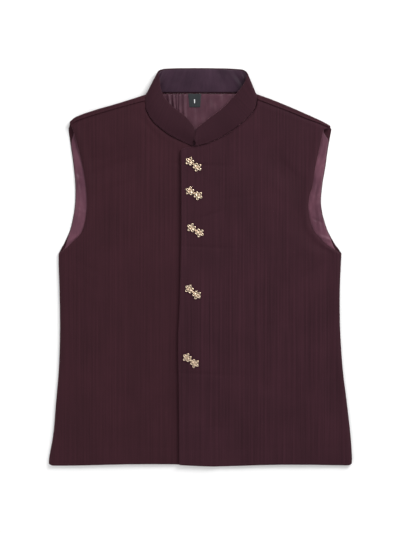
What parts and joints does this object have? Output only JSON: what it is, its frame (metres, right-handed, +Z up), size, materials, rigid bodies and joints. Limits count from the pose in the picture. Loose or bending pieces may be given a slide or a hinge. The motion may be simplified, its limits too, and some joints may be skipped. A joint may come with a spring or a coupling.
{
  "type": "sleeveless band-collar waistcoat",
  "caption": "Sleeveless waistcoat with a stand-up band collar and a lapped front with openwork flower fasteners, lying flat on its back.",
  "frame": {"origin": "middle of the bounding box on the floor, under the laid garment", "axes": "+X towards the wearer's left, +Y from the hem to the collar, +Z up from the floor, out of the garment's front"},
  "size_m": [0.5463, 0.7166, 0.0149],
  "materials": {
    "cloth": "dark maroon suiting with a fine uneven self stripe",
    "lining": "mauve satin lining",
    "facing": "dark purple satin",
    "label": "woven black tab",
    "brass": "pale polished gold plate"
  },
  "bodies": {
    "root": {"back": "cloth", "back_lining": "lining", "front_right": "cloth", "front_left": "cloth", "collar": "cloth", "collar_facing": "facing", "label": "label", "brooch_1": "brass", "brooch_2": "brass", "brooch_3": "brass", "brooch_4": "brass", "brooch_5": "brass"}
  },
  "joints": []
}
